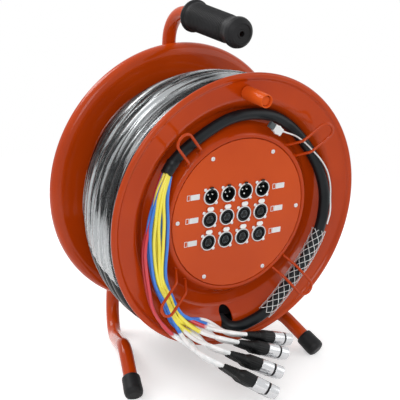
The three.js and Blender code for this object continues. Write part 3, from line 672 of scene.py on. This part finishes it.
def make_release_tab(number, x, z):
    """Push tab: rings scaled from a stadium, which is a circle parted by the sign of its cosine, with a
    dished face, on the shank that goes through the panel."""
    tag = "%02d" % number
    back = PANEL_FRONT_Y - TAB_TRAVEL - 0.25
    a = circle(64)
    outline = np.stack([x + 2.2 * np.sign(np.cos(a)) + 3.0 * np.cos(a), z + TAB_RISE + 3.0 * np.sin(a)], 1)
    face = stacked(outline, ((0, back - 1.0), (0.55, back - 1.05), (0.82, back - 1.35), (0.93, back - 1.35),
                             (1, back - 1.0), (1, back), (0, back)))
    shank = superellipse(6.0, 3.2, 10, 32, (x, z + TAB_RISE))
    piece("release_tab_face_" + tag, [grid(face), slab(shank, back - 0.3, back + 7.5, 0.2)], PRESSED_TAB,
          body="tab_" + tag, stands_for=["release_tab_" + tag])


# Wound cable

def winding_radius(y):
    """The pile's outline: full behind the front flange, and a parabola down towards the rear flange."""
    return 177 - 31 * np.clip((y + 20) / 104, 0, 1) ** 2


def winding_slack(angle):
    """How far the turns hang loose, most at the lower left: the fourth power of a cosine."""
    return WINDING_SLACK * np.maximum(0, np.cos(angle + math.radians(125))) ** 4


def winding_rows(count):
    """Stations along Y with the length of the pile's outline up to each."""
    y = np.linspace(WINDING_FIRST_Y, WINDING_LAST_Y, count)
    return y, np.concatenate([[0], np.cumsum(np.hypot(np.diff(y), np.diff(winding_radius(y))))])


def winding_path(count):
    """Helix whose rows are even along the pile's outline, and which hangs loose at the lower left."""
    y, outline = winding_rows(400)
    t = np.linspace(0, 1, count)
    row = np.interp(t * outline[-1], outline, y)
    angle = -math.pi / 2 + t * WINDING_TURNS * 2 * math.pi
    r = winding_radius(row) + winding_slack(angle)
    return np.stack([r * np.cos(angle), row, r * np.sin(angle)], 1), angle


def make_winding():
    """A circle carried along the helix, over a plain core turned from the pile's outline."""
    path, angle = winding_path(WINDING_TURNS * 120)
    inward = np.stack([-np.cos(angle), 0 * angle, -np.sin(angle)], 1)
    # The wound turns take the darker copy of the jacket, which is painted shade
    piece("wound_multicore", [tube(path, CABLE_RADIUS, 20, inward)], SHADED_WOUND_JACKET,
          stands_for=["cable_winding", "winding_core"])
    stations = np.array([-54, -20, 25, 60, REAR_FACE_Y - 0.5])
    core = np.vstack([[CORE_SEAT, stations[0]],
                      np.stack([winding_radius(stations) - CORE_BELOW_TURNS, stations], 1),
                      [CORE_SEAT, stations[-1]]])
    piece("inner_turns", [turned(core, 96)], JACKET)


def make_film():
    """Film round the turns: each line across it rests on the crests of the turns and sinks between them, by
    one less the cosine of the place within a turn and the square of that, but less at the lower end, where
    it bridges them. Both ends of the wrap are cut on the slant."""
    y = np.linspace(-53.2, 89.6, 150)
    rows, outline = winding_rows(400)
    place = np.interp(y, rows, outline)
    place = place + np.minimum(y - WINDING_FIRST_Y, 0) + np.maximum(y - WINDING_LAST_Y, 0)
    across = (y - y[0]) / (y[-1] - y[0])
    start = np.radians(FILM_START + FILM_START_SLANT * across)
    end = np.radians(FILM_END + FILM_END_SLANT * across)
    t = np.linspace(0, 1, 300)[:, None]
    angle = start * (1 - t) + end * t
    turn = (angle + math.pi / 2) / (2 * math.pi)
    crest = np.cos(2 * math.pi * (place * WINDING_TURNS / outline[-1] - turn))
    sunk = (0.9 * (1 - crest) + 0.4 * (1 - crest) ** 2) * np.clip(t / 0.08, 0.3, 1)
    r = winding_radius(y) + winding_slack(angle) + CABLE_RADIUS + FILM_LIFT - sunk
    r = r + 0.25 * np.sin(9 * angle + 7 * across * math.pi)
    rows = np.broadcast_to(y, r.shape)
    over, under = (np.stack([radius * np.cos(angle), rows, radius * np.sin(angle)], -1)
                   for radius in (r, r - FILM_THICKNESS))
    loop = np.concatenate([over, under[:, ::-1]], 1)
    middle = (over + under) / 2
    closed = np.concatenate([middle, middle[:, ::-1]], 1)
    points = np.concatenate([closed[:1], loop, closed[-1:]])
    piece("stretch_film_wrap", [grid(points, tile=(0.75, 0.32))], FILM, sharp=60)


TAIL_ROUTE = [(-10.5, -60, -163), (-7.5, -67, -167), (-5, -74, -170), (-0.5, -80.5, -171.5), (9, -86, -171),
              (27, -87, -167), (49, -88, -158), (74, -86, -139), (100, -82.5, -113), (124, -81, -84),
              (143, -80, -47), (150, -77.5, -13), (148, -74.5, 18), (136, -71.5, 50), (115, -68, 82),
              (86, -66.5, 112), (54, -66, 131), (18, -66, 138), (-18, -66, 135), (-50, -66, 122),
              (-80, -67, 105), (-97, -69, 94), (-109, -71, 84)]
PULL_WIRE_ROUTE = [(149, -90, -35), (155, -87, -18), (157, -82, 1), (156, -80, 21), (148, -80, 43),
                   (134, -81, 62), (118, -82, 77), (101, -82, 92), (85, -82, 103), (66, -83, 111),
                   (50, -83, 117)]


def make_tail():
    """The multicore's free end: a circle carried along its route from the slot to the breakout boot."""
    path = flowing(TAIL_ROUTE, 220)
    made = piece("multicore_tail_jacket", [tube(path, CABLE_RADIUS, 28)], JACKET,
                 stands_for=["multicore_tail"])
    return path


def make_cable_grip(tail):
    """Woven wire cable grip: thin strands that run as helices both ways round the cable, in and out of each
    other by a cosine, loose enough for the jacket to show in the long diamonds between them."""
    first, last = (int(len(tail) * step / TAIL_STEPS) for step in GRIP_SOCK_STEPS)
    stretch = even(tail[first:last], 200)
    ahead = unit(np.gradient(stretch, axis=0))
    side = unit(np.cross(ahead, (0, 1.0, 0)))
    other = np.cross(ahead, side)
    t = np.linspace(0, 1, 200)
    turns, count = 1.8, 6
    strands = []
    for way in (-1, 1):
        for k in range(count):
            angle = way * 2 * math.pi * turns * t + 2 * math.pi * k / count
            weave = 0.35 * way * np.cos(count * 2 * angle)
            r = CABLE_RADIUS + 1.9 + weave + 0.5 * np.sin(math.pi * t)
            wire = stretch + r[:, None] * around(angle, side, other)
            strands.append(tube(wire, STRAND_RADIUS, 6, unit(wire - stretch)))
    piece("cable_grip_weave", strands, WIRE, stands_for=["cable_grip_sock"])


def make_pull_wire():
    """A circle carried along the wire's route, with two fittings at its end: superellipses along a line,
    pinched in the middle by a bell curve."""
    path = flowing(PULL_WIRE_ROUTE, 90)
    made = piece("pull_wire_strand", [tube(path, PULL_WIRE_RADIUS, 12)], WIRE,
                 stands_for=["pull_wire"])
    along = np.array([math.cos(-0.62), 0, math.sin(-0.62)])
    up = np.array([math.sin(0.62), 0, math.cos(0.62)])
    section = superellipse(2, 2, 4)
    for name, middle, length, wide, deep, pinched, material in (
            ("wire_ferrule", 4.0, 17, 5.6, 3.0, 0.18, WIRE),
            ("wire_thimble", -9.0, 9, 4.6, 2.6, 0, GREY_NYLON)):
        u = np.linspace(0, 1, 24)
        pinch = 1 - pinched * np.exp(-(((u - 0.5) / 0.13) ** 2))
        ends = np.concatenate([[0], np.full(22, 1.0), [0]])
        rings = (np.array([47, -83, 119.0]) + along * (middle + (u - 0.5) * length)[:, None, None]
                 + up * (section[None, :, 0] * (wide * ends / pinch)[:, None])[..., None]
                 + np.array([0, 1.0, 0]) * (section[None, :, 1] * (deep * ends * pinch)[:, None])[..., None])
        piece(name, [grid(rings)], material)


# Fan-out

FAN_SPINE = [((-119, -75, 73), 2), ((-132, -81, 46), 4.2), ((-137, -84, 8), 6.8), ((-136, -84, -25), 6.9),
             ((-129, -84, -76), 4.2), ((-115, -84, -105), 3.7), ((-98, -91, -140), 4.6)]
STACK_ROWS = (0, 0.27, 0.63, 1)
STACK_LAYERS = 3
STACK_TIP = np.array([(65, -132.5, -183), (-5.5, -206, -216.5)])
STACK_AIM = np.array([(0.946, 0.06, -0.32), (0.756, -0.478, -0.447)])
STACK_BEHIND = np.array([9.4, 18.6, -11])
RED, DARK_RED, BLUE, YELLOW = "#CF3441", "#B3202C", "#2F7BD9", "#F3E54B"
COLOURS_BY_PLACE = [RED, BLUE, BLUE, YELLOW, YELLOW, YELLOW, YELLOW, YELLOW, BLUE, BLUE, DARK_RED, RED]
SLEEVE_SAG = np.array([(-2.2, -0.8, -5.0), (0, 0, 0), (3.0, 1.5, 6.0)])
BLUE_TUCK = (0.9, 0.5, 0.1, 0, 0, 0, 0)
RED_TUCK = (1.3, 1.1, 0.6, 0.2, 0, 0, 0)
PAST_HOOK = (0, 0, 0, 2, 8, 15, 7)


def line_connector(k):
    """Where the connector starts and the way it points: four across the stack, and three layers deep."""
    row, layer = k % len(STACK_ROWS), k // len(STACK_ROWS)
    share = STACK_ROWS[row]
    tip = STACK_TIP[0] * (1 - share) + STACK_TIP[1] * share + STACK_BEHIND * layer
    aim = unit(unit(STACK_AIM[0]) * (1 - share) + unit(STACK_AIM[1]) * share)
    return tip - aim * LINE_CONNECTOR_LENGTH, aim


def channel_place(k):
    """The channel's place in the fan, from its inner to its outer side and from the back to the front."""
    return k % len(STACK_ROWS) * STACK_LAYERS + k // len(STACK_ROWS)


def make_channel(k, insulation):
    """A circle carried along a route that keeps its place in the fan at each station, and then sags to its
    connector, a little thicker under its sleeve."""
    place = channel_place(k)
    across, deep = place // 2 - 2.5, place % 2 - 0.5
    end, aim = line_connector(k)
    outside = place >= 10
    tucks = RED_TUCK if outside else BLUE_TUCK
    route = []
    for station, (at, spread) in enumerate(FAN_SPINE):
        at = np.array(at, float)
        outward = unit(at * (1, 0, 1))
        tuck = tucks[station] * (place >= 8)
        wander = 0.8 * math.sin(2.3 * station + 1.9 * place) * (0 < station < 6)
        offset = (across - 2.2 * tuck) * spread + outside * PAST_HOOK[station] + wander
        route.append(at + outward * offset + np.array([0, 6.0 * tuck - deep * LAYER_GAP, 0]))
    halfway = (route[-1] + end - aim * PLUG_LEAD) / 2 + SLEEVE_SAG[k // len(STACK_ROWS)]
    path = flowing([*route, halfway, end - aim * PLUG_LEAD, end], 150)
    along = np.linspace(0, 1, 150)
    radius = CHANNEL_RADIUS + 0.6 * np.clip((along - 0.68) / 0.01, 0, 1)
    return piece("channel_cable_%02d" % (k + 1), [tube(path, radius, 14)], insulation,
                 stands_for=["fan_out"]), path


def make_breakout():
    """Heat-shrink boot over the root of the channel cables: a tube that narrows, with ripples by a sine."""
    start, end = np.array([-107.0, -70.6, 86.0]), np.array([-120.5, -75.0, 71.8])
    t = np.linspace(0, 1, 30)
    path = start + (end - start) * t[:, None]
    radius = 8.7 - 0.7 * t + 0.3 * np.sin(14 * t) * (1 - t)
    piece("breakout_boot", [tube(path, radius, 28)], JACKET, stands_for=["fan_out"])


def make_line_connector(k):
    """Cable connector: a turned black boot ribbed by a sine, a wide collar fluted by a cosine round it, and a
    plated shell with a black ring before its nose, whose face is recessed and black."""
    tag = "%02d" % (k + 1)
    end, aim = line_connector(k)
    t = np.linspace(0, 1, 70)
    ribs = 0.35 * np.sin(t * 2 * math.pi * 9) * np.clip(t * 8, 0, 1) * np.clip((1 - t) * 8, 0, 1)
    boot = np.vstack([[[0, 0.4], [3.2, 0.4]], np.stack([3.9 + 2.3 * t + ribs, 1.0 + t * 21.0], 1),
                      [[6.2, 22.6], [0, 22.6]]])
    angle = circle(72)
    side = unit(np.cross(aim, (0.0, 0.0, 1.0)))
    other = np.cross(side, aim)
    stations = np.array([(22.4, 0.0), (22.4, 5.6), (23.0, 6.4), (29.5, 8.9), (31.0, 9.2), (46.5, 9.2),
                         (47.6, 8.8), (48.0, 8.2), (48.0, 0.0)])
    flute = 0.3 * np.cos(18 * angle)
    depth = np.clip((stations[:, 0] - 26) / 4, 0, 1) * np.clip((47 - stations[:, 0]) / 0.5, 0, 1)
    r = (stations[:, 1] * 0.985)[:, None] + depth[:, None] * (flute - 0.3)[None]
    collar = end + stations[:, 0][:, None, None] * aim + r[..., None] * around(angle, side, other)
    piece("connector_boot_" + tag, [turned(boot, 40, end, aim, closed=False), grid(collar)], BLACK_NYLON)
    shell = [[8.9, 48.3], [9.3, 48.8], [9.4, 66.6], [9.1, 67.2], [8.5, 67.4], [8.5, 70.2], [9.0, 70.4],
             [9.2, 71.0], [9.2, 83.4], [8.8, 84.0], [8.1, 84.0], [7.9, 83.4], [7.8, 60.0], [7.4, 48.6]]
    piece("connector_sleeve_" + tag, [turned(rounded(shell, 0.25, 2), 56, end, aim)], SHELL_NICKEL,
          stands_for=["line_connector_" + tag])
    ring = [[8.4, 67.5], [9.15, 67.6], [9.15, 70.0], [8.4, 70.1]]
    insert = [[0, 80.0], [6.4, 80.0], [6.8, 79.2], [7.7, 79.2], [7.7, 66], [0, 66]]
    piece("connector_face_" + tag, [turned(insert, 40, end, aim, closed=False), turned(ring, 56, end, aim)],
          BLACK_NYLON)


# Stand

def make_stand():
    """Three tubes: a circle carried along straight runs and round bends, for each leg and for the handle."""
    for side, name in ((-1, "left"), (1, "right")):
        flip = np.array([side, 1, 1])
        x, inner_x = side * LEG_X, side * 10.8
        corners = [np.array(FOOT_END) * flip, np.array(FOOT_TOP) * flip, (x, STAND_Y, LEG_CORNER_Z),
                   (x, STAND_Y, ARCH_HEIGHT), (inner_x, STAND_Y, ARCH_HEIGHT)]
        path = even(bent(corners, LEG_BEND, 24), 200)
        piece(name + "_leg_bent_tube", [tube(path, STAND_TUBE_RADIUS, 40, (side * 0.5, 0.4, 0.2))], PAINT,
              body="stand", stands_for=[name + "_leg_tube"])
    corners = [(0, STAND_Y, -60), (0, STAND_Y, HANDLE_HEIGHT), (0, GRIP_FRONT_Y + 12, HANDLE_HEIGHT)]
    path = even(bent(corners, HANDLE_BEND, 30), 160)
    piece("handle_bent_tube", [tube(path, STAND_TUBE_RADIUS, 40, (1, 0, 0))], PAINT, body="stand",
          stands_for=["handle_tube"])


def make_grip():
    """Moulded grip, turned: a thin collar at the rear, a body with fine rings by a cosine along it, a neck,
    and a bulb whose flat front has a round dimple and a small hole. A bell window smooths the outline."""
    y = np.linspace(GRIP_REAR_Y - 1.2, GRIP_FRONT_Y, 460)
    knots = [(67, 23.2), (66, 23.5), (63.6, 23.5), (61, 20.6), (30, 20.3), (-20, 20.0), (-31, 19.0),
             (-36, 19.2), (-39.5, 21.3), (-44, 22.0), (-49, 20.8), (-52, 18.4), (-54, 15.0)]
    ys, rs = np.array(knots, float)[::-1].T
    r = np.interp(y, ys, rs)
    kernel = np.hanning(11)
    r = np.convolve(np.pad(r, 5, mode="edge"), kernel / kernel.sum(), "valid")
    ribbed = np.clip((58 - y) / 3, 0, 1) * np.clip((y + 30) / 3, 0, 1)
    r = r + 0.4 * ribbed * (np.cos(2 * math.pi * y / 3.4) - 0.6)
    outer = np.stack([r, y], 1)
    bore = STAND_TUBE_RADIUS + 0.4
    profile = np.vstack([[[bore, GRIP_REAR_Y], [22.4, GRIP_REAR_Y], [23.3, GRIP_REAR_Y - 0.6]], outer,
                         [[14.0, GRIP_FRONT_Y], [13.4, GRIP_FRONT_Y + 0.9], [6.5, GRIP_FRONT_Y + 0.9],
                          [6.0, GRIP_FRONT_Y + 0.2], [4.0, GRIP_FRONT_Y + 0.2], [4.0, GRIP_FRONT_Y + 11.4],
                          [bore, GRIP_FRONT_Y + 11.5]]])
    piece("moulded_grip", [turned(profile, 96, (0, 0, HANDLE_HEIGHT))], RUBBER, body="stand",
          stands_for=["handle_grip"])


def make_foot_caps():
    """Moulded cap over the tube's end, flattened where it stands by lifting its points to the floor."""
    for side, name in ((-1, "left"), (1, "right")):
        flip = np.array([side, 1, 1])
        end, top = np.array(FOOT_END) * flip, np.array(FOOT_TOP) * flip
        profile = rounded([[10.4, 0.3], [10.4, -22.5], [11.6, -22.6], [13.0, -20.5], [13.1, -12], [13.6, 2],
                           [12.4, 7.0], [8.5, 9], [0, 9]], 1.4, 5, closed=False)
        profile = np.vstack([[[0, 0.3]], profile])
        points, faces, uv = turned(profile, 64, end, end - top, closed=False)
        points[:, 2] = np.maximum(points[:, 2], -REEL[2])
        piece(name + "_moulded_foot", [(points, faces, uv)], RUBBER, body="stand",
              stands_for=[name + "_foot_cap"])


def finish_cad_nodes():
    """The CAD nodes that stay get their material in place of the plain one."""
    # The panel and the crank bolt take lighter copies of the pressings' paint, which are painted light
    finishes = {"barrel": PAINT, "patch_panel": LIT_PANEL_PAINT, "hub_plate": PAINT, "axle": ZINC,
                "axle_collar": ZINC, "bearing_tube": ZINC, "front_bush": WHITE_NYLON,
                "rear_bush": WHITE_NYLON, "crank_bolt": KNOB_PAINT}
    for node, material in finishes.items():
        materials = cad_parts[node].data.materials
        materials.clear()
        materials.append(material)


# Studio

def seen_background(tree):
    """One for the camera's, glossy and transmission rays, which see the white background, and zero for the
    others."""
    rays = add(tree, "ShaderNodeLightPath")
    seen = rays.outputs["Is Camera Ray"]
    for kind in ("Is Glossy Ray", "Is Transmission Ray"):
        either = add(tree, "ShaderNodeMath", {0: seen, 1: rays.outputs[kind]}, operation="MAXIMUM")
        seen = either.outputs["Value"]
    return seen


def make_floor():
    """White paper floor, matt and even, that takes the shadow near the object and fades into the white beyond
    it. The camera, reflections and see-through pieces all see the same floor."""
    floor = bpy.data.meshes.new("studio_floor")
    a = circle(64)
    rim = np.stack([FLOOR_RADIUS * np.cos(a), FLOOR_RADIUS * np.sin(a), np.zeros(64)], 1)
    floor.from_pydata(rim.tolist(), [], [list(range(64))])
    placed("studio_floor", floor)
    paper, tree, surface = new_material("white_paper", Base_Color=linear("#F4F4F4"), Roughness=0.9,
                                        Emission_Color=(1, 1, 1, 1))
    lift = add(tree, "ShaderNodeMath", {0: seen_background(tree), 1: FLOOR_LIFT}, operation="MULTIPLY")
    feed(tree, surface, {"Emission Strength": lift.outputs["Value"]})
    place = add(tree, "ShaderNodeTexCoord").outputs["Object"]
    away = add(tree, "ShaderNodeVectorMath", {0: place}, operation="LENGTH")
    near, far = FLOOR_FADE
    fade = add(tree, "ShaderNodeMapRange", {"Value": away.outputs["Value"], "From Min": near,
                                            "From Max": far}, interpolation_type="SMOOTHSTEP")
    clear = add(tree, "ShaderNodeBsdfTransparent")
    seen = add(tree, "ShaderNodeMixShader", {0: fade.outputs["Result"], 1: surface.outputs["BSDF"],
                                             2: clear.outputs["BSDF"]})
    feed(tree, tree.nodes["Material Output"], {"Surface": seen.outputs["Shader"]})
    floor.materials.append(paper)


def make_studio():
    """White background for the camera, reflections and see-through pieces, soft even light all round from a
    paler grey, and three softboxes."""
    make_floor()
    world = bpy.data.worlds.new("studio")
    bpy.context.scene.world = world
    world.use_nodes = True
    tree = world.node_tree
    tree.nodes.clear()
    strength = add(tree, "ShaderNodeMix", {0: seen_background(tree), 2: WORLD_LIGHT, 3: 1.0}).outputs[0]
    white = add(tree, "ShaderNodeBackground", {"Color": (1, 1, 1, 1), "Strength": strength})
    add(tree, "ShaderNodeOutputWorld", {"Surface": white.outputs["Background"]})

    for name, place, size, watts in (("key_softbox", (-1.6, -1.9, 1.9), 1.4, 27.0),
                                     ("fill_softbox", (1.9, -1.5, 1.2), 1.6, 11.0),
                                     ("back_softbox", (-0.9, 1.6, 1.9), 1.2, 30.0)):
        lamp = bpy.data.lights.new(name, "AREA")
        lamp.energy = watts
        lamp.size = size
        aim_at(placed(name, lamp), place, (0, 0, 0.25))


def aim_at(made, place, target):
    """The object's -Z axis points from its place to the target."""
    back = unit(np.subtract(place, target))
    right = unit(np.cross((0, 0, 1.0), back))
    up = np.cross(back, right)
    made.matrix_world = matrix(right, up, back, place)


def matrix(right, up, back, place):
    """The matrix whose columns are three directions and a place."""
    rows = [[right[i], up[i], back[i], place[i]] for i in range(3)]
    return mathutils.Matrix([*rows, [0, 0, 0, 1]])


def make_camera():
    """Camera matched to the photograph: azimuth, elevation and roll about the axle's centre."""
    azimuth, elevation, roll = (math.radians(v) for v in (-33.93, 19.70, 3.83))
    distance = 1.77092
    back = np.array([math.sin(azimuth) * math.cos(elevation), -math.cos(azimuth) * math.cos(elevation),
                     math.sin(elevation)])
    level = np.array([math.cos(azimuth), math.sin(azimuth), 0])
    lift = np.cross(back, level)
    right = level * math.cos(roll) + lift * math.sin(roll)
    up = -level * math.sin(roll) + lift * math.cos(roll)
    data = bpy.data.cameras.new("photo_camera")
    data.lens = 111.17
    data.sensor_width = 36.0
    data.shift_x = -0.0217
    data.shift_y = -0.01135
    data.clip_start = 0.05
    camera = placed("photo_camera", data)
    camera.matrix_world = matrix(right, up, back, REEL / 1000 + back * distance)
    bpy.context.scene.camera = camera


make_camera()
make_studio()
tail_path = make_tail()
make_pull_wire()
make_cable_grip(tail_path)
make_breakout()
insulations = {colour: cable_insulation(colour) for colour in sorted(set(COLOURS_BY_PLACE))}
for channel in range(CHANNELS):
    make_line_connector(channel)
    cable, channel_path = make_channel(channel, insulations[COLOURS_BY_PLACE[channel_place(channel)]])
make_front_flange()
make_rear_flange()
make_hooks()
make_crank_knob()
make_screws()
make_label_plates()
for number, x, z, female in connector_places():
    make_panel_connector(number, x, z, female)
    if female:
        make_release_tab(number, x, z)
make_winding()
make_film()
make_stand()
make_grip()
make_foot_caps()
finish_cad_nodes()

bpy.context.scene.view_settings.view_transform = "Standard"
